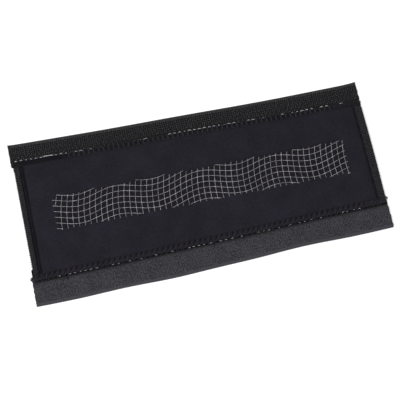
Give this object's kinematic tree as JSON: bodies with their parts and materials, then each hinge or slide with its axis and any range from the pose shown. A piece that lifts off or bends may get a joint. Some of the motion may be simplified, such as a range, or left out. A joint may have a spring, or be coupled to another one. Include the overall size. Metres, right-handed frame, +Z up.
{
  "type": "chainstay protector",
  "caption": "Tapered padded fabric panel with a printed wavy net, sewn to a hook tape on one long edge and a loop tape on the other, laid flat.",
  "frame": {"origin": "centre of the bounding box in plan, on the flat inner face that lies against the bicycle's chainstay", "axes": "+X along the length towards the narrow end, +Y across to the hook tape, +Z up out of the printed outer face"},
  "size_m": [0.25, 0.1172, 0.0033],
  "materials": {
    "panel_cloth": "matt knitted cloth over closed-cell foam",
    "hook_cloth": "woven tape covered in fine nylon hooks",
    "loop_cloth": "twill-backed loop pile tape, pile face down",
    "black_thread": "twisted polyester sewing thread",
    "pale_thread": "pale polyester sewing thread",
    "print_ink": "raised silvery grey print"
  },
  "bodies": {
    "root": {"neoprene_panel": "panel_cloth", "hook_tape": "hook_cloth", "loop_tape": "loop_cloth", "printed_net": "print_ink", "upper_seam_top_looper": "black_thread", "upper_seam_needle_thread": "black_thread", "upper_seam_under_looper": "pale_thread", "lower_seam_top_looper": "black_thread", "lower_seam_needle_thread": "black_thread", "lower_seam_under_looper": "pale_thread", "left_seam_top_looper": "black_thread", "left_seam_needle_thread": "black_thread", "left_seam_under_looper": "black_thread", "right_seam_top_looper": "black_thread", "right_seam_needle_thread": "black_thread", "right_seam_under_looper": "black_thread"}
  },
  "joints": []
}
